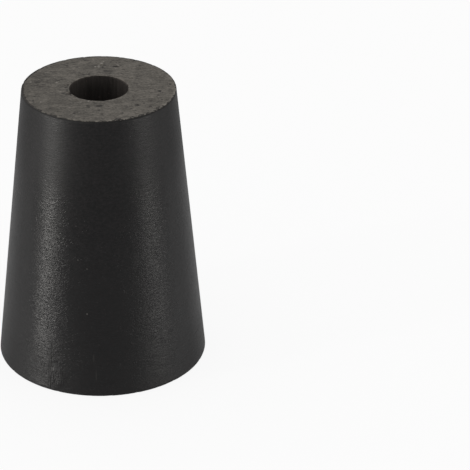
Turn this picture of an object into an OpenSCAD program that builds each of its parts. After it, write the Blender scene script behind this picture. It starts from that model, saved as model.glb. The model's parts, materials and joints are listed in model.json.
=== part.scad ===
// One-hole rubber stopper: a plain cone of black rubber, moulded in one piece, with one straight
// bore through both ends. The sides taper 1 in 5 on the diameter. It stands on its large end.
// The origin is the centre of the large end, on the bore's axis, and +Z points to the small end.
// Sizes are in millimetres.

/* [Body] */
// Diameter of the large end, across its sharp corner
large_d = 29; // [20:0.5:60]
// Diameter of the small end, across its sharp corner
small_d = 21; // [16:0.5:60]
// Distance between the two end faces
height = 40; // [10:0.5:100]

/* [Bore] */
// Diameter of the hole that runs through both ends
bore_d = 8; // [3:0.5:12]

/* [Edges] */
// Rounding of the outer edge at the large end
large_edge_r = 0.3; // [0.1:0.05:1]
// Rounding of the outer edge at the small end
small_edge_r = 0.2; // [0.1:0.05:1]
// Rounding of the bore's two mouths
mouth_r = 0.15; // [0.05:0.05:0.5]

/* [Hidden] */
large_r = large_d / 2;
small_r = small_d / 2;
bore_r = bore_d / 2;
edge_steps = 5;  // straight stretches in each rounded edge
$fn = 180;

function unit(v) = v / norm(v);

// Points of the arc of radius r that rounds the corner at p, between its neighbours a and b
function rounded(a, p, b, r) =
    let (to_a = unit(a - p),
         to_b = unit(b - p),
         half = acos(to_a * to_b) / 2,
         centre = p + unit(to_a + to_b) * r / sin(half),
         start = p + to_a * r / tan(half) - centre,
         end = p + to_b * r / tan(half) - centre,
         from = atan2(start.y, start.x),
         sweep = (atan2(end.y, end.x) - from + 540) % 360 - 180)
    [for (i = [0:edge_steps])
        let (angle = from + sweep * i / edge_steps)
        centre + r * [cos(angle), sin(angle)]];

// Half of the section, from the bore's wall out to the tapered side
module section() {
    corners = [[bore_r, 0], [large_r, 0], [small_r, height], [bore_r, height]];
    radii = [mouth_r, large_edge_r, small_edge_r, mouth_r];
    count = len(corners);
    polygon([for (i = [0:count - 1])
        each rounded(corners[(i + count - 1) % count], corners[i],
                     corners[(i + 1) % count], radii[i])]);
}

// The whole stopper, turned around the bore's axis
module stopper() {
    color("#2b2a2a")
        rotate_extrude()
            section();
}

stopper();
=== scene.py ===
"""A one-hole rubber stopper that stands on its large end, with its floor, lamps and camera."""

from __future__ import annotations

import json
import logging
import math
from dataclasses import dataclass, field
from enum import Enum
from typing import Any

import bpy
from mathutils import Matrix, Vector

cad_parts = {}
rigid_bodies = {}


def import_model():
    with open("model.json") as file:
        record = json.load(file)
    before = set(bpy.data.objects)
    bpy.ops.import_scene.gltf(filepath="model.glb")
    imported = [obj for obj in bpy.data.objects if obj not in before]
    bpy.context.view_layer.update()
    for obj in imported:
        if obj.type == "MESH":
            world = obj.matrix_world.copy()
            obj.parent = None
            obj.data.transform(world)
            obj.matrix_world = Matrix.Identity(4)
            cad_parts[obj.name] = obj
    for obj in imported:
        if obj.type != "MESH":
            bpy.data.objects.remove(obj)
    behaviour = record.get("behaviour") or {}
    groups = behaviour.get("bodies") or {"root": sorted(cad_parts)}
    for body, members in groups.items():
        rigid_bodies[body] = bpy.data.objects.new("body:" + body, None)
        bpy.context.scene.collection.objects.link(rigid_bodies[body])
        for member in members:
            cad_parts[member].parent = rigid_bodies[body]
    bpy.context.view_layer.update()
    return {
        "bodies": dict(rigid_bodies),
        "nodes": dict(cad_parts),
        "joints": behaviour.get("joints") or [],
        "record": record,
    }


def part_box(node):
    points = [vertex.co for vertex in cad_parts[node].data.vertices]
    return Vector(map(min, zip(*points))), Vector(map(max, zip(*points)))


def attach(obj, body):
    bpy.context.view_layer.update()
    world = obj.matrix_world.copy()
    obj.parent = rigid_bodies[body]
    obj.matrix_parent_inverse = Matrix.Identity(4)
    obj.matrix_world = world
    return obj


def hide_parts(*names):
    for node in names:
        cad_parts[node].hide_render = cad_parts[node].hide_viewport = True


LOG = logging.getLogger("stopper")
MM = 0.001
TOP = 40.0  # height of the small end, in millimetres, where its marks are
NODE = "stopper"

EDGE = "from_edge"  # mesh attribute: distance from the nearest edge, in millimetres
DEPTH = "into_bore"  # mesh attribute: distance from the nearer end, in millimetres

NOISE_MEAN = 0.5
NOISE_LOW, NOISE_HIGH = 0.25, 0.75  # what most cloudy noise lies between
WANDER_DETAIL = 2.0  # finer layers in the noise that moves a place about
MARK_CORE = 0.4  # share of a mark's radius that shows at full strength
SPOT_CORE = 0.6  # the same for a scattered spot
SPOT_WANDER = 0.7  # width of the noise that makes a spot ragged, in spot radii
BUMP_WIDTH = 0.05  # filter width of the bump nodes, so that fine relief stays crisp

Value = Any  # what a node's input takes: a socket to link, or a number, colour or vector to set
Socket = bpy.types.NodeSocket
Triple = tuple[float, float, float]
Colour = tuple[float, float, float]

FAR = 1.0  # a distance in metres that nothing on the stopper reaches
EVEN: Triple = (1.0, 1.0, 1.0)
WHITE = (1.0, 1.0, 1.0, 1.0)


@dataclass(frozen=True)
class Mark:
    """A blemish at a known place, as an ellipse in the XY plane, in millimetres.

    Attributes:
        at: its middle.
        radius: its radius along Y and Z.
        strength: how strongly it shows in its middle.
        wide: its radius along X, as a share of the radius.
    """

    at: Triple
    radius: float
    strength: float = 1.0
    wide: float = 1.0


def on_top(x: float, y: float, radius: float, strength: float = 1.0, wide: float = 1.0) -> Mark:
    """Gives a mark on the small end."""
    return Mark((x, y, TOP), radius, strength, wide)


@dataclass(frozen=True)
class Grain:
    """A cloudy noise.

    Attributes:
        size: how wide its features are, in millimetres.
        seed: a number that picks the pattern.
        detail: how many finer layers are added.
        rough: how strong the finer layers are.
        squeeze: how much closer together the features lie along X, Y and Z.
    """

    size: float
    seed: float
    detail: float = 2.0
    rough: float = 0.5
    squeeze: Triple = EVEN


@dataclass(frozen=True)
class Scatter:
    """Scattered ragged spots of every size up to a largest.

    Attributes:
        spacing: how far apart they are in space, in millimetres.
        radius: the largest one's radius, in millimetres.
        seed: a number that picks the pattern.
        ragged: how far the outlines wander, as a share of the radius.
    """

    spacing: float
    radius: float
    seed: float
    ragged: float = 0.4


@dataclass(frozen=True)
class Wander:
    """A ragged shift of places, in millimetres.

    Attributes:
        size: how wide the features of its noise are.
        reach: how far a place moves at most.
    """

    size: float
    reach: float


@dataclass(frozen=True)
class Ramp:
    """A range and the range that it is carried to, held at both ends.

    Attributes:
        low: where the range starts.
        high: where the range ends.
        to_low: the result at low.
        to_high: the result at high.
        smooth: eases in and out of the range in place of a straight ramp.
    """

    low: float
    high: float
    to_low: float = 0.0
    to_high: float = 1.0
    smooth: bool = True


class Graph:
    """A node tree written as expressions, for shaders and for Geometry Nodes alike."""

    def __init__(self, tree: bpy.types.NodeTree) -> None:
        """Starts on an empty tree.

        Args:
            tree: the tree that the nodes go into.
        """
        self.tree = tree

    def add(self, kind: str, inputs: dict[str | int, Value] | None = None,
            **settings: Any) -> bpy.types.Node:
        """Adds one node.

        Args:
            kind: the node's type.
            inputs: a value or a socket for each input that isn't left alone, by name or number.
            settings: properties of the node itself.

        Returns:
            The new node.
        """
        node = self.tree.nodes.new(kind)
        for name, value in settings.items():
            setattr(node, name, value)
        for key, value in (inputs or {}).items():
            self.feed(node.inputs[key], value)
        return node

    def feed(self, socket: Socket, value: Value) -> None:
        """Links an input to a socket, or sets it to a plain value.

        Args:
            socket: the input.
            value: the socket or the plain value that it takes.
        """
        if isinstance(value, Socket):
            self.tree.links.new(value, socket)
        else:
            socket.default_value = value

    def math(self, operation: str, a: Value, b: Value = 0.0) -> Socket:
        """Gives the result of one operation on two numbers."""
        return self.add("ShaderNodeMath", {0: a, 1: b}, operation=operation).outputs[0]

    def product(self, first: Value, *others: Value) -> Socket:
        """Gives the product of several numbers.

        Args:
            first: the first number.
            others: the other numbers.

        Returns:
            The socket with the product.
        """
        result = first
        for other in others:
            result = self.math("MULTIPLY", result, other)
        return result

    def total(self, first: Value, *others: Value) -> Socket:
        """Gives the sum of several numbers.

        Args:
            first: the first number.
            others: the other numbers.

        Returns:
            The socket with the sum.
        """
        result = first
        for other in others:
            result = self.math("ADD", result, other)
        return result

    def apart(self, a: Value, b: Value) -> Socket:
        """Gives how far apart two numbers are."""
        return self.math("ABSOLUTE", self.math("SUBTRACT", a, b))

    def vector(self, operation: str, a: Value, b: Value = (0.0, 0.0, 0.0)) -> Socket:
        """Gives the vector that one operation on two vectors makes."""
        return self.add("ShaderNodeVectorMath", {0: a, 1: b}, operation=operation).outputs["Vector"]

    def measure(self, operation: str, a: Value, b: Value = (0.0, 0.0, 0.0)) -> Socket:
        """Gives the number that one operation on two vectors makes, such as a length."""
        return self.add("ShaderNodeVectorMath", {0: a, 1: b}, operation=operation).outputs["Value"]

    def scaled(self, vector: Value, factor: Value) -> Socket:
        """Gives a vector or a colour times a number.

        Args:
            vector: the vector or the colour.
            factor: the number.

        Returns:
            The socket with the result.
        """
        node = self.add("ShaderNodeVectorMath", {0: vector}, operation="SCALE")
        self.feed(node.inputs["Scale"], factor)
        return node.outputs["Vector"]

    def parts(self, vector: Value) -> tuple[Socket, ...]:
        """Gives a vector's X, Y and Z."""
        return tuple(self.add("ShaderNodeSeparateXYZ", {0: vector}).outputs)

    def joined(self, x: Value, y: Value, z: Value) -> Socket:
        """Gives the vector with this X, Y and Z."""
        return self.add("ShaderNodeCombineXYZ", {0: x, 1: y, 2: z}).outputs[0]

    def from_axis(self, place: Value) -> Socket:
        """Gives the vector from the stopper's axis to a place, level with the place."""
        x, y, _ = self.parts(place)
        return self.joined(x, y, 0.0)

    def attribute(self, name: str) -> Socket:
        """Gives a number that is kept on the mesh, for a shader."""
        return self.add("ShaderNodeAttribute", attribute_name=name).outputs["Fac"]

    def ramp(self, value: Value, ramp: Ramp, to_low: Value | None = None) -> Socket:
        """Carries a number from one range to another, and holds it at the ends.

        Args:
            value: the number.
            ramp: the two ranges.
            to_low: the result at the start of the range, where a socket gives it.

        Returns:
            The socket with the result.
        """
        easing = "SMOOTHSTEP" if ramp.smooth else "LINEAR"
        start = ramp.to_low if to_low is None else to_low
        inputs = {0: value, 1: ramp.low, 2: ramp.high, 3: start, 4: ramp.to_high}
        return self.add("ShaderNodeMapRange", inputs, interpolation_type=easing).outputs[0]

    def swing(self, noise: Value, reach: float) -> Socket:
        """Gives noise as a swing of this reach to either side of 0."""
        return self.ramp(noise, Ramp(NOISE_LOW, NOISE_HIGH, -reach, reach, smooth=False))

    def noise(self, place: Value, grain: Grain) -> Socket:
        """Gives cloudy noise between 0 and 1, about 0.5 on average.

        Args:
            place: where the noise is read, in millimetres.
            grain: the noise.

        Returns:
            The socket with the noise.
        """
        if grain.squeeze != EVEN:
            place = self.vector("MULTIPLY", place, grain.squeeze)
        inputs = {"Vector": place, "W": grain.seed, "Scale": 1.0 / grain.size,
                  "Detail": grain.detail, "Roughness": grain.rough}
        return self.add("ShaderNodeTexNoise", inputs, noise_dimensions="4D").outputs[0]

    def ridges(self, place: Value, grain: Grain, width: float) -> Socket:
        """Gives thin crisp lines, 1 along their middle, where cloudy noise crosses its average.

        Args:
            place: where the noise is read, in millimetres.
            grain: the noise.
            width: how far from its average the noise still makes a line.

        Returns:
            The socket with the lines.
        """
        return self.ramp(self.apart(self.noise(place, grain), NOISE_MEAN), Ramp(width, 0.0))

    def spots(self, place: Value, scatter: Scatter) -> Socket:
        """Gives scattered spots, 1 inside them.

        Args:
            place: where the pattern is read, in millimetres.
            scatter: the spots.

        Returns:
            The socket with the spots.
        """
        radius, spacing, seed = scatter.radius, scatter.spacing, scatter.seed
        inputs = {"Vector": place, "Scale": SPOT_WANDER / radius}
        wander = self.add("ShaderNodeTexNoise", inputs).outputs["Color"]
        moved = self.vector("ADD", place, self.scaled(wander, 2.0 * scatter.ragged * radius))
        moved = self.vector("ADD", moved, (seed, seed, seed))
        node = self.add("ShaderNodeTexVoronoi", {"Vector": moved, "Scale": 1.0 / spacing})
        return self.ramp(node.outputs["Distance"],
                         Ramp(radius / spacing, SPOT_CORE * radius / spacing))

    def marks(self, place: Value, marks: tuple[Mark, ...]) -> Socket:
        """Gives marks at known places.

        Args:
            place: where the marks are looked for, in millimetres.
            marks: the marks.

        Returns:
            The socket with each mark's strength in its middle, and 0 away from them all.
        """
        result: Value = 0.0
        for mark in marks:
            squeeze = (1.0 / mark.wide, 1.0, 1.0)
            off = self.vector("MULTIPLY", self.vector("SUBTRACT", place, mark.at), squeeze)
            outline = Ramp(mark.radius, MARK_CORE * mark.radius)
            shape = self.ramp(self.measure("LENGTH", off), outline)
            result = self.math("MAXIMUM", result, self.product(shape, mark.strength))
        return result

    def wandered(self, place: Value, wander: Wander) -> Socket:
        """Gives a place moved about by noise, so that outlines drawn with it are ragged.

        Args:
            place: the place, in millimetres.
            wander: how it is moved.

        Returns:
            The socket with the moved place.
        """
        inputs = {"Vector": place, "Scale": 1.0 / wander.size, "Detail": WANDER_DETAIL}
        noise = self.add("ShaderNodeTexNoise", inputs).outputs["Color"]
        centred = self.vector("SUBTRACT", noise, (NOISE_MEAN, NOISE_MEAN, NOISE_MEAN))
        return self.vector("ADD", place, self.scaled(centred, 2.0 * wander.reach))

    def blend(self, factor: Value, a: Value, b: Value) -> Socket:
        """Gives a colour between two colours."""
        return self.add("ShaderNodeMix", {0: factor, 6: a, 7: b}, data_type="RGBA").outputs[2]

    def bump(self, height: Value, depth: float, under: Value | None = None) -> Socket:
        """Gives the normal of a surface with relief.

        Args:
            height: the relief, from 0 to 1.
            depth: how deep it is drawn, in millimetres.
            under: the normal of the surface that it is drawn on, where that has relief too.

        Returns:
            The socket with the normal.
        """
        inputs: dict[str | int, Value] = {"Strength": 1.0, "Distance": depth * MM,
                                          "Height": height, "Filter Width": BUMP_WIDTH}
        if under is not None:
            inputs["Normal"] = under
        return self.add("ShaderNodeBump", inputs).outputs[0]


def rgba(colour: Colour) -> tuple[float, float, float, float]:
    """Gives a colour its alpha of 1."""
    return (*colour, 1.0)


@dataclass(frozen=True)
class Finish:
    """A surface finish: what all of them share. Sizes, depths and places are in millimetres."""

    name: str
    colour: Colour
    roughness: float
    gloss: float

    def material(self) -> bpy.types.Material:
        """Makes the material with its own pattern.

        Returns:
            The new material.
        """
        material = bpy.data.materials.new(self.name)
        material.use_nodes = True
        graph = Graph(material.node_tree)
        shader = material.node_tree.nodes["Principled BSDF"]
        shader.inputs["Specular IOR Level"].default_value = self.gloss
        shader.inputs["Roughness"].default_value = self.roughness
        shader.inputs["Base Color"].default_value = rgba(self.colour)
        place = graph.scaled(graph.add("ShaderNodeTexCoord").outputs["Object"], 1 / MM)
        self.pattern(graph, shader.inputs, place)
        return material

    def pattern(self, graph: Graph, shader: Any, place: Socket) -> None:
        """Adds the finish's own pattern.

        Args:
            graph: the material's node tree.
            shader: the shader's inputs.
            place: the place on the object, in millimetres.
        """
        raise NotImplementedError


@dataclass(frozen=True)
class MouldedSkin(Finish):
    """Black rubber as the mould left it: satin, with fine wrinkles that run round the stopper.

    A relief's ramps say how strong it is: `rise` from the small end down, `top` across the front
    for what is left of it near the small end, `foot` near the large end.
    """

    name: str = "moulded_skin"
    colour: Colour = (0.0016, 0.0013, 0.0014)
    roughness: float = 0.33
    gloss: float = 0.17

    mottle: Grain = Grain(0.45, 12.0, 3.0, 0.7, (1.0, 1.0, 1.6))
    mottle_reach: float = 0.5
    mottle_rise: Ramp = Ramp(14.0, 26.0, 1.8, 4.5)
    darkest: float = 0.05
    dust: Colour = (0.10, 0.095, 0.088)
    motes: Scatter = Scatter(0.8, 0.10, 4.0)
    mote_share: float = 0.05
    speck_wander: Wander = Wander(0.3, 0.06)
    specks: tuple[Mark, ...] = (
        Mark((-2.1, -13.1, 12.3), 0.14, 0.55, 0.8),
        Mark((-3.2, -12.1, 20.1), 0.14, 0.3),
        Mark((-2.0, -12.45, 18.9), 0.14, 0.25),
        Mark((-1.3, -13.9, 5.8), 0.8, 0.08, 0.15),
        Mark((-1.0, -14.1, 3.2), 1.1, 0.07, 0.10),
    )
    bloom: Colour = (0.040, 0.039, 0.037)
    bloom_share: float = 0.2

    middle_height: float = 18.0
    scuffed_ends: Ramp = Ramp(8.0, 17.0, 0.0, 0.10)
    scuffed_flanks: Ramp = Ramp(0.72, 0.88, 0.0, 0.16)
    scuffed_edge: Ramp = Ramp(0.45, 0.15, to_high=0.70)

    grain: Grain = Grain(0.16, 5.0, 2.0, 0.6)
    grain_depth: float = 0.0045
    drawn: Grain = Grain(0.29, 37.0, 1.0, squeeze=(1.0, 1.0, 6.0))
    drawn_depth: float = 0.042
    drawn_rise: Ramp = Ramp(34.0, 14.0)
    drawn_top: Ramp = Ramp(1.5, 5.0, 0.20, 0.28)
    drawn_foot: Ramp = Ramp(3.0, 10.0, 0.75, 1.0)
    wrinkles: Grain = Grain(0.55, 31.0, squeeze=(0.8, 0.8, 3.0))
    wrinkle_depth: float = 0.042
    wrinkle_patches: Grain = Grain(3.0, 8.0, 3.0, 0.6)
    wrinkle_patch_shape: Ramp = Ramp(0.38, 0.60, 0.35, 1.0)
    wrinkle_rise: Ramp = Ramp(31.0, 15.0)
    wrinkle_top: Ramp = Ramp(1.5, 5.0, 0.29, 0.46)
    wrinkle_foot: Ramp = Ramp(3.0, 10.0, 0.5, 1.0)
    wrinkle_rim: Ramp = Ramp(37.0, 39.0, 0.0, 0.4)
    combed: Grain = Grain(0.8, 43.0, 1.0, squeeze=(0.45, 0.45, 2.4))
    comb_depth: float = 0.048
    comb_foot: Ramp = Ramp(13.0, 9.0)
    creases: Grain = Grain(0.9, 41.0, 1.0, squeeze=(1.0, 1.0, 3.0))
    crease_width: float = 0.05
    crease_depth: float = 0.016
    crease_patches: Grain = Grain(2.4, 15.0, 2.0, 0.6)
    crease_patch_shape: Ramp = Ramp(0.42, 0.56)
    crease_rise: Ramp = Ramp(34.0, 22.0)
    swells: Grain = Grain(2.4, 3.0, squeeze=(1.0, 1.0, 2.0))
    swell_depth: float = 0.03
    strokes: Grain = Grain(0.28, 47.0, 1.0, squeeze=(1.0, 1.0, 0.2))
    stroke_depth: float = 0.13
    rubbed: tuple[Mark, ...] = (
        Mark((-8.4, -11.4, 3.2), 2.0, 0.5),
        Mark((-6.6, -12.6, 2.2), 1.9),
    )

    seam_side: Triple = (0.857, -0.515, 0.0)
    seam_wander: Wander = Wander(2.0, 0.12)
    seam_width: Ramp = Ramp(0.15, 0.04)
    seam_foot: Ramp = Ramp(8.0, 5.0)
    ring_height: float = 4.6
    ring_width: Ramp = Ramp(0.16, 0.04)
    ring_breaks: Grain = Grain(1.0, 9.0)
    ring_break_shape: Ramp = Ramp(0.5, 0.65)
    ring_share: float = 0.5
    seam_depth: float = 0.11

    def pattern(self, graph: Graph, shader: Any, place: Socket) -> None:
        """Adds the colour, the scuffs and the relief.

        Args:
            graph: the material's node tree.
            shader: the shader's inputs.
            place: the place on the object, in millimetres.
        """
        height = graph.parts(place)[2]
        seam = self.seam(graph, place, height)
        graph.feed(shader["Base Color"], self.coloured(graph, place, height, seam))
        graph.feed(shader["Roughness"], self.scuffs(graph, place, height))
        graph.feed(shader["Normal"], self.relief(graph, place, height, seam))

    def seam(self, graph: Graph, place: Socket, height: Socket) -> Socket:
        """Draws the mould's parting line, which shows on two opposite sides near the foot.

        Args:
            graph: the material's node tree.
            place: the place on the object.
            height: the height of the place.

        Returns:
            The socket with the line, 1 along its middle.
        """
        off = graph.measure("DOT_PRODUCT", graph.wandered(place, self.seam_wander), self.seam_side)
        line = graph.ramp(graph.math("ABSOLUTE", off), self.seam_width)
        return graph.product(line, graph.ramp(height, self.seam_foot))

    def ring(self, graph: Graph, place: Socket, height: Socket) -> Socket:
        """Draws the broken line that runs round the foot.

        Args:
            graph: the material's node tree.
            place: the place on the object.
            height: the height of the place.

        Returns:
            The socket with the line.
        """
        line = graph.ramp(graph.apart(height, self.ring_height), self.ring_width)
        broken = graph.ramp(graph.noise(place, self.ring_breaks), self.ring_break_shape)
        return graph.product(line, broken, self.ring_share)

    def coloured(self, graph: Graph, place: Socket, height: Socket, seam: Socket) -> Socket:
        """Mottles the black, and adds dust, specks and the paler parting line.

        Args:
            graph: the material's node tree.
            place: the place on the object.
            height: the height of the place.
            seam: the parting line.

        Returns:
            The socket with the colour.
        """
        mottle = graph.swing(graph.noise(place, self.mottle), self.mottle_reach)
        shade = graph.total(graph.product(mottle, graph.ramp(height, self.mottle_rise)), 1.0)
        colour = graph.scaled(self.colour, graph.math("MAXIMUM", shade, self.darkest))
        motes = graph.product(graph.spots(place, self.motes), self.mote_share)
        specks = graph.marks(graph.wandered(place, self.speck_wander), self.specks)
        colour = graph.blend(graph.math("MAXIMUM", motes, specks), colour, rgba(self.dust))
        return graph.blend(graph.product(seam, self.bloom_share), colour, rgba(self.bloom))

    def scuffs(self, graph: Graph, place: Socket, height: Socket) -> Socket:
        """Roughens the gloss towards both ends, on both flanks and at the edges.

        Args:
            graph: the material's node tree.
            place: the place on the object.
            height: the height of the place.

        Returns:
            The socket with the roughness.
        """
        ends = graph.ramp(graph.apart(height, self.middle_height), self.scuffed_ends)
        outward = graph.vector("NORMALIZE", graph.from_axis(place))
        flank = graph.math("ABSOLUTE", graph.parts(outward)[0])
        plain = graph.total(ends, graph.ramp(flank, self.scuffed_flanks), self.roughness)
        return graph.ramp(graph.attribute(EDGE), self.scuffed_edge, plain)

    def relief(self, graph: Graph, place: Socket, height: Socket, seam: Socket) -> Socket:
        """Draws the fine relief, from the finest up.

        Args:
            graph: the material's node tree.
            place: the place on the object.
            height: the height of the place.
            seam: the parting line.

        Returns:
            The socket with the normal.
        """
        across = graph.parts(place)[0]
        low = graph.product(
            graph.ramp(height, self.drawn_rise, graph.ramp(across, self.drawn_top)),
            graph.ramp(height, self.drawn_foot))
        plain = graph.product(
            graph.ramp(height, self.wrinkle_rise, graph.ramp(across, self.wrinkle_top)),
            graph.ramp(height, self.wrinkle_foot))
        plain = graph.total(plain, graph.ramp(height, self.wrinkle_rim))
        patches = graph.ramp(graph.noise(place, self.wrinkle_patches), self.wrinkle_patch_shape)
        creased = graph.product(
            graph.ramp(graph.noise(place, self.crease_patches), self.crease_patch_shape),
            graph.ramp(height, self.crease_rise))
        combed = graph.noise(place, self.combed)
        creases = graph.ridges(place, self.creases, self.crease_width)
        lines = graph.math("MAXIMUM", seam, self.ring(graph, place, height))
        layers = (
            (graph.noise(place, self.grain), self.grain_depth),
            (graph.product(graph.noise(place, self.drawn), low), self.drawn_depth),
            (graph.product(graph.noise(place, self.wrinkles), patches, plain),
             self.wrinkle_depth),
            (graph.product(combed, graph.ramp(height, self.comb_foot)), self.comb_depth),
            (graph.product(creases, creased), self.crease_depth),
            (graph.product(graph.noise(place, self.swells), low), self.swell_depth),
            (graph.product(graph.noise(place, self.strokes), graph.marks(place, self.rubbed)),
             self.stroke_depth),
            (lines, self.seam_depth),
        )
        normal = None
        for drawn, depth in layers:
            normal = graph.bump(drawn, depth, normal)
        return normal


@dataclass(frozen=True)
class GroundFace(Finish):
    """A flat end, ground matt: warm grey, with fine streaks, pits and pale specks.

    The moulded skin is left as a dark ragged line along the rim: wide on the worn side, where the
    rim is chipped and has a painted highlight, and on the unworn side, where less was ground away.
    """

    name: str = "ground_face"
    colour: Colour = (0.0925, 0.0840, 0.0725)
    roughness: float = 0.85
    gloss: float = 0.25

    grinding_wander: Wander = Wander(2.0, 0.15)
    streaks: Grain = Grain(0.55, 11.0, 2.0, 0.6, (0.5, 3.2, 1.0))
    streak_reach: float = 0.48
    streak_depth: float = 0.020
    scores: Grain = Grain(0.9, 23.0, 1.0, squeeze=(0.25, 2.6, 1.0))
    score_width: float = 0.035
    score_patches: Grain = Grain(1.3, 27.0, 2.0, 0.6)
    score_patch_shape: Ramp = Ramp(0.46, 0.62)
    score_shade: float = -0.35
    clouds: Grain = Grain(1.4, 2.0, 3.0, 0.6, (0.7, 1.0, 1.0))
    cloud_reach: float = 0.38
    grain: Grain = Grain(0.22, 13.0, 2.0, 0.7, (0.7, 1.3, 1.0))
    grain_reach: float = 0.60
    grain_depth: float = 0.012
    # painted shade: the face is drawn darker towards its left side
    painted_shade_across: Ramp = Ramp(-9.0, -1.0, 0.89, 1.0)

    ragged: Wander = Wander(0.35, 0.14)
    pit: Colour = (0.0125, 0.0110, 0.0100)
    small_pits: Scatter = Scatter(1.1, 0.30, 7.0, 0.7)
    pit_patches: Grain = Grain(2.0, 33.0, 2.0, 0.6)
    pit_patch_shape: Ramp = Ramp(0.46, 0.60)
    small_pit_share: float = 0.7
    pit_depth: float = 0.05
    pits: tuple[Mark, ...] = (
        on_top(8.2, -1.3, 0.36, 1.0),
        on_top(5.1, -5.6, 0.40, 0.9),
        on_top(0.0, -5.7, 0.40, 0.9, 1.8),
        on_top(9.65, 0.9, 0.26, 0.9),
        on_top(5.35, -4.0, 0.28, 0.6, 1.6),
        on_top(2.2, -6.4, 0.20, 0.6),
        on_top(5.7, 6.9, 0.26, 0.7, 1.6),
        on_top(9.7, 1.9, 0.18, 0.6),
        on_top(-4.1, -1.6, 0.50, 0.8),
        on_top(-4.3, -0.6, 0.60, 0.50, 0.45),
        on_top(-4.42, -1.95, 0.34, 0.65, 0.8),
        on_top(-3.8, -2.3, 0.26, 0.6),
        on_top(-4.15, 1.1, 0.50, 0.35, 0.4),
        on_top(1.35, 5.35, 0.42, 0.6, 2.6),
        on_top(0.95, 5.5, 0.36, 0.7, 1.2),
        on_top(2.3, 6.8, 0.30, 1.0, 1.7),
        on_top(0.58, 6.6, 0.50, 0.8, 0.4),
        on_top(2.9, 8.2, 0.26, 0.6),
        on_top(0.2, 6.9, 2.00, 0.18, 2.0),
    )
    speck_and_painted_highlight: Colour = (0.240, 0.224, 0.200)
    motes: Scatter = Scatter(1.0, 0.11, 19.0)
    mote_share: float = 0.35
    specks: tuple[Mark, ...] = (
        on_top(-5.7, 1.9, 0.20, 0.8),
        on_top(-7.8, -4.2, 0.18, 0.8),
        on_top(-1.4, -4.1, 0.20, 0.9),
        on_top(-8.0, -6.7, 0.20, 0.7),
        on_top(-9.25, 2.2, 0.16, 0.6),
        on_top(0.42, 7.85, 0.34, 0.9, 0.9),
        on_top(0.7, 8.6, 0.20, 0.7),
        on_top(0.03, 6.95, 0.70, 0.45, 0.35),
        on_top(-0.42, 6.9, 0.24, 0.6),
        on_top(2.68, 7.16, 0.28, 0.7),
        on_top(2.25, -10.1, 0.22, 0.8, 1.4),
        on_top(6.6, -8.1, 0.24, 0.9, 1.4),
    )

    outer: Ramp = Ramp(5.0, 8.0)
    worn_side: Triple = (0.77, -0.64, 0.0)
    worn: Grain = Grain(0.45, 29.0, 3.0, 0.6)
    # painted highlight: a pale ragged line along the rim's edge, strongest on the worn side
    painted_highlight_edge: Ramp = Ramp(0.40, 0.25)
    painted_highlight_shape: Ramp = Ramp(0.58, 0.45)
    painted_highlight_side: Ramp = Ramp(5.0, 9.0, 0.3, 1.0)
    painted_highlight_share: float = 0.22
    skin_shape: Ramp = Ramp(0.40, 0.75, 0.0, 0.6)
    skin_side: Ramp = Ramp(6.0, 10.0, 0.6, 1.4)
    skin_patches: Grain = Grain(5.0, 35.0, 1.0)
    skin_patch_shape: Ramp = Ramp(0.40, 0.62, 0.3, 1.0)
    unworn_side: Triple = (-0.50, 0.87, 0.0)
    unworn_skin: Ramp = Ramp(-4.0, 5.0, 0.0, 0.22)
    skin_edge: Ramp = Ramp(0.12, 0.0)
    skin_share: float = 0.9

    def pattern(self, graph: Graph, shader: Any, place: Socket) -> None:
        """Adds grinding streaks, clouding, pits, specks, the rim's skin and its painted highlight.

        Args:
            graph: the material's node tree.
            shader: the shader's inputs.
            place: the place on the object, in millimetres.
        """
        along = graph.wandered(place, self.grinding_wander)
        streaks = graph.noise(along, self.streaks)
        grain = graph.noise(place, self.grain)
        ragged = graph.wandered(place, self.ragged)
        few = graph.ramp(graph.noise(place, self.pit_patches), self.pit_patch_shape)
        small = graph.product(graph.spots(place, self.small_pits), few, self.small_pit_share)
        pits = graph.math("MAXIMUM", small, graph.marks(ragged, self.pits))
        motes = graph.product(graph.spots(place, self.motes), self.mote_share)
        specks = graph.math("MAXIMUM", motes, graph.marks(ragged, self.specks))

        colour = graph.scaled(self.colour, self.shade(graph, place, along, streaks, grain))
        colour = graph.blend(pits, colour, rgba(self.pit))
        colour = graph.blend(specks, colour, rgba(self.speck_and_painted_highlight))
        graph.feed(shader["Base Color"], self.rim(graph, place, colour))
        normal = graph.bump(grain, self.grain_depth)
        normal = graph.bump(streaks, self.streak_depth, normal)
        normal = graph.bump(graph.math("SUBTRACT", 1.0, pits), self.pit_depth, normal)
        graph.feed(shader["Normal"], normal)

    def shade(self, graph: Graph, place: Socket, along: Socket, streaks: Socket,
              grain: Socket) -> Socket:
        """Sets how light the grey is from place to place, with painted shade towards the left.

        Args:
            graph: the material's node tree.
            place: the place on the object.
            along: the same place, moved about a little, for what the grinding drew.
            streaks: the grinding streaks.
            grain: the fine grain.

        Returns:
            The socket with the factor for the colour.
        """
        scores = graph.ridges(along, self.scores, self.score_width)
        scored = graph.ramp(graph.noise(place, self.score_patches), self.score_patch_shape)
        clouds = graph.noise(place, self.clouds)
        return graph.total(graph.swing(streaks, self.streak_reach),
                           graph.swing(clouds, self.cloud_reach),
                           graph.swing(grain, self.grain_reach),
                           graph.product(scores, scored, self.score_shade),
                           # painted shade towards the left of the face
                           graph.ramp(graph.parts(place)[0], self.painted_shade_across))

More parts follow.
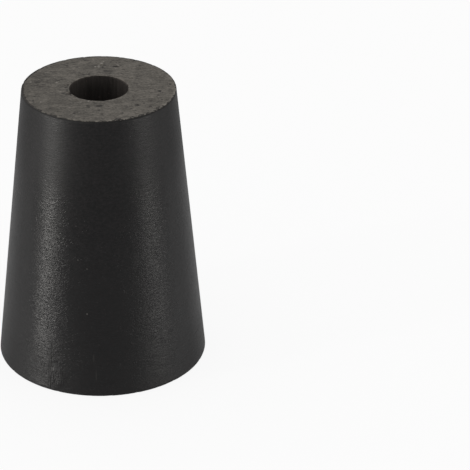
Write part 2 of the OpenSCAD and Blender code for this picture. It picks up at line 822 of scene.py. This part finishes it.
    def rim(self, graph: Graph, place: Socket, colour: Socket) -> Socket:
        """Adds a painted highlight and the dark line of moulded skin along the outer rim.

        Args:
            graph: the material's node tree.
            place: the place on the object.
            colour: the colour away from the rim.

        Returns:
            The socket with the colour.
        """
        edge = graph.attribute(EDGE)
        outer = graph.ramp(graph.measure("LENGTH", graph.from_axis(place)), self.outer)
        worn = graph.noise(place, self.worn)
        worn_side = graph.measure("DOT_PRODUCT", place, self.worn_side)
        unworn_side = graph.measure("DOT_PRODUCT", place, self.unworn_side)
        patches = graph.ramp(graph.noise(place, self.skin_patches), self.skin_patch_shape)
        painted_highlight = graph.product(graph.ramp(edge, self.painted_highlight_edge), graph.ramp(worn, self.painted_highlight_shape),
                             outer, graph.ramp(worn_side, self.painted_highlight_side), self.painted_highlight_share)
        reach = graph.product(graph.ramp(worn, self.skin_shape),
                              graph.ramp(worn_side, self.skin_side), patches)
        reach = graph.total(reach, graph.ramp(unworn_side, self.unworn_skin))
        skin = graph.ramp(graph.math("SUBTRACT", edge, reach), self.skin_edge)
        # painted highlight drawn pale along the rim
        colour = graph.blend(painted_highlight, colour, rgba(self.speck_and_painted_highlight))
        return graph.blend(graph.product(skin, outer, self.skin_share), colour, rgba(self.pit))


@dataclass(frozen=True)
class BoreWall(Finish):
    """The wall of the hole: black, drawn smooth along the hole by the mould's pin."""

    name: str = "bore_wall"
    colour: Colour = (0.0295, 0.0262, 0.0238)
    roughness: float = 0.8
    gloss: float = 0.05

    drawn: Grain = Grain(1.0, 17.0, 3.0, squeeze=(3.0, 3.0, 0.3))
    drawn_shade: Ramp = Ramp(0.3, 0.7, 0.78, 1.22, smooth=False)
    drawn_depth: float = 0.02
    # painted shade deeper in the hole, painted light on its left and right walls
    painted_shade_deep: Ramp = Ramp(0.3, 2.2, 1.0, 0.75)
    painted_light_left: Ramp = Ramp(-1.2, -3.2, to_high=1.25)
    painted_light_right: Ramp = Ramp(1.2, 3.2, to_high=1.7)
    dust: Colour = (0.07, 0.05, 0.045)
    motes: Scatter = Scatter(0.9, 0.12, 8.0)
    mote_share: float = 0.5

    def pattern(self, graph: Graph, shader: Any, place: Socket) -> None:
        """Adds marks along the hole, painted shade and light on its walls, and a little dust.

        Args:
            graph: the material's node tree.
            shader: the shader's inputs.
            place: the place on the object, in millimetres.
        """
        drawn = graph.noise(place, self.drawn)
        across = graph.parts(place)[0]
        # painted shade deeper into the hole, then painted light on the left and right walls
        bloom = graph.ramp(graph.attribute(DEPTH), self.painted_shade_deep)
        bloom = graph.ramp(across, self.painted_light_left, bloom)
        bloom = graph.ramp(across, self.painted_light_right, bloom)
        shade = graph.product(graph.ramp(drawn, self.drawn_shade), bloom)
        dust = graph.product(graph.spots(place, self.motes), self.mote_share)
        colour = graph.blend(dust, graph.scaled(self.colour, shade), rgba(self.dust))
        graph.feed(shader["Base Color"], colour)
        graph.feed(shader["Normal"], graph.bump(drawn, self.drawn_depth))


class Stretch(Enum):
    """A straight stretch of the section, with the name of the input that spaces its rows."""

    SIDE = "Side row"
    SMALL_END = "Small end row"
    LARGE_END = "Large end row"
    BORE = "Bore row"


@dataclass(frozen=True)
class Relief:
    """The patterns of the relief that is in the mesh, in millimetres. Its depths are inputs."""

    facing: Ramp = Ramp(0.6, 0.95)
    waves: Grain = Grain(6.0, 1.0, 1.0)
    ripples: Grain = Grain(1.4, 2.0, squeeze=(1.0, 1.0, 1.8))
    ripple_patches: Grain = Grain(5.0, 21.0)
    ripple_patch_shape: Ramp = Ramp(0.40, 0.62)
    ripple_rise: Ramp = Ramp(34.0, 12.0)
    chips: Grain = Grain(0.7, 3.0, 3.0, 0.6)
    chip_shape: Ramp = Ramp(0.52, 0.70)
    chip_edge: Ramp = Ramp(0.40, 0.05)
    grinding: Grain = Grain(1.0, 4.0, squeeze=(0.4, 1.6, 1.0))
    pits: Scatter = Scatter(2.6, 0.45, 6.0)
    nubs: tuple[Mark, ...] = (
        on_top(0.4, 7.7, 0.42),
        on_top(0.0, 6.8, 0.34, 0.7),
        on_top(2.6, 7.1, 0.34),
    )
    nick: tuple[Mark, ...] = (on_top(-4.0, -1.5, 0.55),)
    nick_wander: Wander = Wander(0.5, 0.2)


@dataclass
class Stopper:
    """The stopper: a turned section with one straight bore, and the relief of its surfaces.

    Attributes:
        edge_steps: how many points round each corner of the section.
        segments: how many times the section stands round the axis.
        rows: how far apart the rows of faces are on each stretch.
        on_line: how near a stretch's line a point is taken to be on it.
        steepness: the normal's share along an axis past which a face belongs to an end or the bore.
    """

    bore_r: float
    height: float
    large_d: float = 29 * MM
    small_d: float = 21 * MM
    large_edge_r: float = 0.3 * MM
    small_edge_r: float = 0.2 * MM
    mouth_r: float = 0.15 * MM
    edge_steps: int = 5
    segments: int = 360
    rows: dict[Stretch, float] = field(default_factory=lambda: {
        Stretch.SIDE: 0.28 * MM,
        Stretch.SMALL_END: 0.15 * MM,
        Stretch.LARGE_END: 0.40 * MM,
        Stretch.BORE: 2.0 * MM,
    })
    on_line: float = 0.001 * MM
    steepness: float = 0.7
    wave_depth: float = 0.012 * MM
    ripple_depth: float = 0.006 * MM
    chip_depth: float = 0.07 * MM
    grinding_depth: float = 0.010 * MM
    pit_depth: float = 0.10 * MM
    nub_height: float = 0.10 * MM
    nick_depth: float = 0.25 * MM
    drawn: Relief = Relief()
    skin: Finish = MouldedSkin()
    face: Finish = GroundFace()
    bore: Finish = BoreWall()

    @classmethod
    def from_frame(cls, frame: dict[str, Any], node: str) -> "Stopper":
        """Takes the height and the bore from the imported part.

        Args:
            node: the CAD node's name.

        Returns:
            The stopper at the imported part's size.
        """
        bore = next(mount for mount in frame["record"]["mounts"] if mount["name"] == "bore")
        return cls(bore_r=bore["dims"]["r_mm"] * MM, height=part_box(node)[1].z)

    def sizes(self) -> dict[str, float | int]:
        """Gives the named inputs of the node tree.

        Returns:
            Each input's name and value, in metres or as a count.
        """
        return {
            "Bore radius": self.bore_r,
            "Large radius": self.large_d / 2,
            "Small radius": self.small_d / 2,
            "Height": self.height,
            "Large edge": self.large_edge_r,
            "Small edge": self.small_edge_r,
            "Mouth edge": self.mouth_r,
            **{stretch.value: spacing for stretch, spacing in self.rows.items()},
            "Wave depth": self.wave_depth,
            "Ripple depth": self.ripple_depth,
            "Chip depth": self.chip_depth,
            "Grinding depth": self.grinding_depth,
            "Pit depth": self.pit_depth,
            "Nub height": self.nub_height,
            "Nick depth": self.nick_depth,
            "Edge steps": self.edge_steps,
            "Segments": self.segments,
        }

    def build(self) -> bpy.types.Object:
        """Makes the finished mesh.

        Returns:
            An object that holds a plain mesh.
        """
        tree = bpy.data.node_groups.new("turned_stopper", "GeometryNodeTree")
        tree.interface.new_socket("Geometry", in_out="OUTPUT",
                                  socket_type="NodeSocketGeometry")
        identifiers = {}
        for name, value in self.sizes().items():
            kind = "NodeSocketInt" if isinstance(value, int) else "NodeSocketFloat"
            socket = tree.interface.new_socket(name, in_out="INPUT", socket_type=kind)
            identifiers[name] = socket.identifier
        graph = Graph(tree)
        inputs = graph.add("NodeGroupInput").outputs
        mesh = self.turned(graph, inputs)
        mesh = self.relief(graph, mesh, inputs)
        mesh = self.dressed(graph, mesh)
        graph.add("NodeGroupOutput", {0: mesh})

        holder = bpy.data.objects.new("stopper_body", bpy.data.meshes.new("stopper_body"))
        bpy.context.scene.collection.objects.link(holder)
        modifier = holder.modifiers.new("turned_stopper", "NODES")
        modifier.node_group = tree
        for name, value in self.sizes().items():
            modifier[identifiers[name]] = value
        bpy.context.view_layer.update()
        evaluated = holder.evaluated_get(bpy.context.evaluated_depsgraph_get())
        mesh_data = bpy.data.meshes.new_from_object(evaluated)
        holder.modifiers.remove(modifier)
        holder.data = mesh_data
        return holder

    def section(self, graph: Graph, inputs: Any) -> Socket:
        """Draws the section as a closed outline with rounded corners, X outwards and Y upwards.

        Args:
            graph: the node tree.
            inputs: the tree's named inputs.

        Returns:
            The socket with the outline.
        """
        bore, large, small, height = (
            inputs[name] for name in ("Bore radius", "Large radius", "Small radius", "Height"))
        outline = graph.add("GeometryNodeCurvePrimitiveQuadrilateral", mode="POINTS")
        points = ((bore, 0.0), (large, 0.0), (small, height), (bore, height))
        for number, (x, y) in enumerate(points, 1):
            graph.feed(outline.inputs[f"Point {number}"], graph.joined(x, y, 0.0))
        index = graph.add("GeometryNodeInputIndex").outputs[0]
        radii = graph.add("GeometryNodeIndexSwitch", data_type="FLOAT")
        while len(radii.index_switch_items) < len(points):
            radii.index_switch_items.new()
        graph.feed(radii.inputs[0], index)
        for number, name in enumerate(("Mouth edge", "Large edge", "Small edge", "Mouth edge"), 1):
            graph.feed(radii.inputs[number], inputs[name])
        rounded = graph.add("GeometryNodeFilletCurve", {"Curve": outline.outputs[0]}, mode="POLY")
        graph.feed(rounded.inputs["Count"], inputs["Edge steps"])
        graph.feed(rounded.inputs["Radius"], radii.outputs[0])
        return self.with_rows(graph, rounded.outputs[0], inputs)

    def with_rows(self, graph: Graph, outline: Socket, inputs: Any) -> Socket:
        """Cuts the outline's straight stretches into rows, at each stretch's own spacing.

        Args:
            graph: the node tree.
            outline: the outline.
            inputs: the tree's named inputs.

        Returns:
            The socket with the outline and its new points.
        """
        position = graph.add("GeometryNodeInputPosition").outputs[0]
        index = graph.add("GeometryNodeInputIndex").outputs[0]
        following = graph.add("GeometryNodeOffsetPointInCurve",
                              {"Point Index": index, "Offset": 1})
        reached = graph.add("GeometryNodeFieldAtIndex",
                            {"Index": following.outputs["Point Index"]},
                            data_type="FLOAT_VECTOR", domain="POINT")
        graph.feed(reached.inputs["Value"], position)
        step = graph.vector("SUBTRACT", reached.outputs[0], position)
        spacing = inputs[Stretch.SIDE.value]
        x, y, _ = graph.parts(position)
        dx, dy, _ = graph.parts(step)
        for along, across, level, stretch in ((x, dx, inputs["Bore radius"], Stretch.BORE),
                                              (y, dy, inputs["Height"], Stretch.SMALL_END),
                                              (y, dy, 0.0, Stretch.LARGE_END)):
            off = graph.total(graph.apart(along, level), graph.math("ABSOLUTE", across))
            on_line = graph.math("LESS_THAN", off, self.on_line)
            choice = {0: on_line, 2: spacing, 3: inputs[stretch.value]}
            spacing = graph.add("ShaderNodeMix", choice).outputs[0]
        cuts = graph.math("FLOOR",
                          graph.math("DIVIDE", graph.measure("LENGTH", step), spacing))
        return graph.add("GeometryNodeSubdivideCurve",
                         {"Curve": outline, "Cuts": cuts}).outputs[0]

    def turned(self, graph: Graph, inputs: Any) -> Socket:
        """Turns the section round the axis into one closed mesh.

        Args:
            graph: the node tree.
            inputs: the tree's named inputs.

        Returns:
            The socket with the mesh.
        """
        position = graph.add("GeometryNodeInputPosition").outputs[0]
        section = graph.add("GeometryNodeCaptureAttribute", {0: self.section(graph, inputs)},
                            domain="POINT")
        section.capture_items.new("VECTOR", "Section place")
        graph.feed(section.inputs[1], position)
        ring = graph.add("GeometryNodeCurvePrimitiveCircle",
                         {"Resolution": inputs["Segments"], "Radius": 1.0}, mode="RADIUS")
        circle = graph.add("GeometryNodeCaptureAttribute", {0: ring.outputs[0]}, domain="POINT")
        circle.capture_items.new("VECTOR", "Direction")
        graph.feed(circle.inputs[1], position)
        swept = graph.add("GeometryNodeCurveToMesh",
                          {"Curve": circle.outputs[0], "Profile Curve": section.outputs[0]})
        outward, upward, _ = graph.parts(section.outputs[1])
        place = graph.vector("ADD", graph.scaled(circle.outputs[1], outward),
                             graph.joined(0.0, 0.0, upward))
        outer = graph.add("GeometryNodeFlipFaces", {0: swept.outputs[0]}).outputs[0]
        return graph.add("GeometryNodeSetPosition",
                         {"Geometry": outer, "Position": place}).outputs[0]

    def relief(self, graph: Graph, mesh: Socket, inputs: Any) -> Socket:
        """Raises and sinks the surface along its normal, and keeps the distances that finishes use.

        Args:
            graph: the node tree.
            mesh: the smooth mesh.
            inputs: the tree's named inputs.

        Returns:
            The socket with the mesh in relief.
        """
        drawn = self.drawn
        position = graph.add("GeometryNodeInputPosition").outputs[0]
        normal = graph.add("GeometryNodeInputNormal").outputs[0]
        place = graph.scaled(position, 1 / MM)
        height = graph.parts(place)[2]
        off_axis = graph.from_axis(position)
        outward = graph.vector("NORMALIZE", off_axis)
        side = graph.ramp(graph.measure("DOT_PRODUCT", normal, outward), drawn.facing)
        end = graph.ramp(graph.math("ABSOLUTE", graph.parts(normal)[2]), drawn.facing)
        edge = self.from_edge(graph, graph.measure("LENGTH", off_axis),
                              graph.parts(position)[2], inputs)

        patches = graph.ramp(graph.noise(place, drawn.ripple_patches), drawn.ripple_patch_shape)
        sunk = graph.total(
            graph.product(graph.noise(place, drawn.waves), side, inputs["Wave depth"]),
            graph.product(graph.noise(place, drawn.ripples), patches, side,
                          graph.ramp(height, drawn.ripple_rise), inputs["Ripple depth"]),
            graph.product(graph.ramp(graph.noise(place, drawn.chips), drawn.chip_shape),
                          graph.ramp(edge, drawn.chip_edge), inputs["Chip depth"]),
            graph.product(graph.noise(place, drawn.grinding), end, inputs["Grinding depth"]),
            graph.product(graph.spots(place, drawn.pits), end, inputs["Pit depth"]),
            graph.product(graph.marks(place, drawn.nubs), end, inputs["Nub height"], -1.0),
            graph.product(graph.marks(graph.wandered(place, drawn.nick_wander), drawn.nick),
                          inputs["Nick depth"]))
        offset = graph.scaled(normal, graph.product(sunk, -1.0))
        mesh = graph.add("GeometryNodeSetPosition",
                         {"Geometry": mesh, "Offset": offset}).outputs[0]
        for name, value in ((EDGE, edge), (DEPTH, self.into_bore(graph, height, inputs))):
            kept = graph.add("GeometryNodeStoreNamedAttribute",
                             {"Geometry": mesh, "Name": name}, domain="POINT")
            graph.feed(kept.inputs["Value"], value)
            mesh = kept.outputs[0]
        return mesh

    def into_bore(self, graph: Graph, height: Value, inputs: Any) -> Socket:
        """Gives the distance from the nearer end of the stopper, in millimetres."""
        top = graph.product(inputs["Height"], 1 / MM)
        return graph.math("MINIMUM", height, graph.math("SUBTRACT", top, height))

    def from_edge(self, graph: Graph, radius: Value, height: Value, inputs: Any) -> Socket:
        """Gives the distance to the nearest of the section's four corners.

        Args:
            graph: the node tree.
            radius: the distance from the axis, in metres.
            height: the height, in metres.
            inputs: the tree's named inputs.

        Returns:
            The socket with the distance, in millimetres.
        """
        top = inputs["Height"]
        nearest: Value = FAR
        for corner, level in (("Bore radius", 0.0), ("Large radius", 0.0),
                              ("Small radius", top), ("Bore radius", top)):
            off = graph.joined(graph.math("SUBTRACT", radius, inputs[corner]),
                               graph.math("SUBTRACT", height, level), 0.0)
            nearest = graph.math("MINIMUM", nearest, graph.measure("LENGTH", off))
        return graph.product(nearest, 1 / MM)

    def dressed(self, graph: Graph, mesh: Socket) -> Socket:
        """Gives each surface its finish.

        Args:
            graph: the node tree.
            mesh: the mesh.

        Returns:
            The socket with the dressed mesh.
        """
        normal = graph.add("GeometryNodeInputNormal").outputs[0]
        position = graph.add("GeometryNodeInputPosition").outputs[0]
        outward = graph.vector("NORMALIZE", graph.from_axis(position))
        level = graph.math("ABSOLUTE", graph.parts(normal)[2])
        flat = graph.math("GREATER_THAN", level, self.steepness)
        inward = graph.math("LESS_THAN", graph.measure("DOT_PRODUCT", normal, outward),
                            -self.steepness)
        mesh = graph.add("GeometryNodeRealizeInstances", {0: mesh}).outputs[0]
        mesh = graph.add("GeometryNodeSetShadeSmooth",
                         {"Geometry": mesh, "Shade Smooth": True}).outputs[0]
        for finish, where in ((self.skin, True), (self.face, flat), (self.bore, inward)):
            inputs = {"Geometry": mesh, "Selection": where, "Material": finish.material()}
            mesh = graph.add("GeometryNodeSetMaterial", inputs).outputs[0]
        return mesh


@dataclass(frozen=True)
class Softbox:
    """A rectangular lamp that faces the object.

    Attributes:
        name: its name.
        azimuth: its direction from the object, in degrees from the front towards the right.
        elevation: its height above the level, in degrees.
        distance: how far from the object it stands.
        width: how wide it is.
        height: how high it is.
        power: its power in watts.
        colour: its colour.
    """

    name: str
    azimuth: float
    elevation: float
    distance: float
    width: float
    height: float
    power: float
    colour: Colour = (1.0, 0.98, 0.94)

    def build(self, target: Vector) -> bpy.types.Object:
        """Makes the lamp.

        Args:
            target: the point that it faces.

        Returns:
            The lamp's object.
        """
        data = bpy.data.lights.new(self.name, "AREA")
        data.shape = "RECTANGLE"
        data.size = self.width
        data.size_y = self.height
        data.energy = self.power
        data.color = self.colour
        lamp = bpy.data.objects.new(self.name, data)
        turn, rise = math.radians(self.azimuth), math.radians(self.elevation)
        away = Vector((math.sin(turn) * math.cos(rise), -math.cos(turn) * math.cos(rise),
                       math.sin(rise)))
        lamp.location = target + away * self.distance
        lamp.rotation_euler = (-away).to_track_quat("-Z", "Y").to_euler()
        bpy.context.scene.collection.objects.link(lamp)
        return lamp


@dataclass
class Studio:
    """The floor, the lamps, the world and the camera. Camera angles are in radians."""

    floor_size: float = 3.0
    floor_colour: Colour = (0.80, 0.80, 0.80)
    floor_roughness: float = 0.9
    floor_whiteness: float = 0.88
    world_strength: float = 0.90
    white_strength: float = 1.0
    camera_distance: float = 0.41559
    camera_elevation: float = 0.52424
    camera_pan: float = 0.04565
    camera_tilt: float = 0.03639
    camera_roll: float = -0.01801
    lens: float = 224.4
    lamp_target: Triple = (0.0, 0.0, 0.02)
    lamps: tuple[Softbox, ...] = (
        Softbox("left_softbox", -67, 1.4, 1.2, 0.12, 0.08, 17.4),
        Softbox("right_low_softbox", 59, 1.4, 1.2, 0.14, 0.08, 3.8),
        Softbox("right_softbox", 69, 2.0, 1.2, 0.14, 0.10, 4.1),
    )

    def build(self) -> None:
        """Makes everything around the object."""
        self.floor()
        self.world()
        self.camera()
        for lamp in self.lamps:
            lamp.build(Vector(self.lamp_target))

    def seen(self, graph: Graph) -> Socket:
        """Tells what is seen from what only lights.

        Args:
            graph: the material's or the world's node tree.

        Returns:
            The socket with 1 where a thing is seen directly, in a gloss or through a clear body,
            and 0 where it only lights.
        """
        path = graph.add("ShaderNodeLightPath").outputs
        indirect = graph.math("MAXIMUM", path["Is Glossy Ray"], path["Is Transmission Ray"])
        return graph.math("MAXIMUM", path["Is Camera Ray"], indirect)

    def floor(self) -> None:
        """Makes the floor, near white where it is seen, with its shadows kept."""
        half = self.floor_size / 2
        mesh = bpy.data.meshes.new("floor")
        points = [(-half, -half, 0), (half, -half, 0), (half, half, 0), (-half, half, 0)]
        mesh.from_pydata(points, [], [(0, 1, 2, 3)])
        floor = bpy.data.objects.new("floor", mesh)
        bpy.context.scene.collection.objects.link(floor)
        material = bpy.data.materials.new("pale_floor")
        material.use_nodes = True
        graph = Graph(material.node_tree)
        shader = material.node_tree.nodes["Principled BSDF"]
        shader.inputs["Base Color"].default_value = rgba(self.floor_colour)
        shader.inputs["Roughness"].default_value = self.floor_roughness
        shader.inputs["Specular IOR Level"].default_value = 0.0
        white = graph.add("ShaderNodeEmission",
                          {"Color": WHITE, "Strength": self.white_strength})
        share = graph.product(self.seen(graph), self.floor_whiteness)
        mixed = graph.add("ShaderNodeMixShader",
                          {0: share, 1: shader.outputs[0], 2: white.outputs[0]})
        output = material.node_tree.nodes["Material Output"]
        graph.feed(output.inputs["Surface"], mixed.outputs[0])
        mesh.materials.append(material)

    def world(self) -> None:
        """Lights the scene from all round, and is white where it is seen."""
        world = bpy.data.worlds.new("studio")
        world.use_nodes = True
        graph = Graph(world.node_tree)
        background = world.node_tree.nodes["Background"]
        background.inputs["Color"].default_value = WHITE
        strengths = Ramp(0.0, 1.0, self.world_strength, self.white_strength, smooth=False)
        graph.feed(background.inputs["Strength"], graph.ramp(self.seen(graph), strengths))
        bpy.context.scene.world = world

    def camera(self) -> None:
        """Places the camera in front of the object and above it, and turns it to one side."""
        data = bpy.data.cameras.new("camera")
        data.lens = self.lens
        camera = bpy.data.objects.new("camera", data)
        rise = self.camera_elevation
        at = Vector((0.0, -math.cos(rise), math.sin(rise))) * self.camera_distance
        facing = (-at).to_track_quat("-Z", "Y").to_matrix()
        turned = Matrix.Rotation(-self.camera_pan, 3, "Y")
        turned = turned @ Matrix.Rotation(self.camera_tilt, 3, "X")
        turned = turned @ Matrix.Rotation(self.camera_roll, 3, "Z")
        camera.matrix_world = Matrix.Translation(at) @ (facing @ turned).to_4x4()
        bpy.context.scene.collection.objects.link(camera)
        bpy.context.scene.camera = camera


def main() -> None:
    """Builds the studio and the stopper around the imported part."""
    logging.basicConfig(level=logging.INFO, format="%(name)s: %(message)s")
    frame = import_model()
    bpy.context.scene.view_settings.view_transform = "Standard"
    Studio().build()
    LOG.info("floor, lamps and camera made")
    piece = Stopper.from_frame(frame, NODE).build()
    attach(piece, "root")
    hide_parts(NODE)
    LOG.info("%s made with %d faces", piece.name, len(piece.data.polygons))


if __name__ == "__main__":
    main()
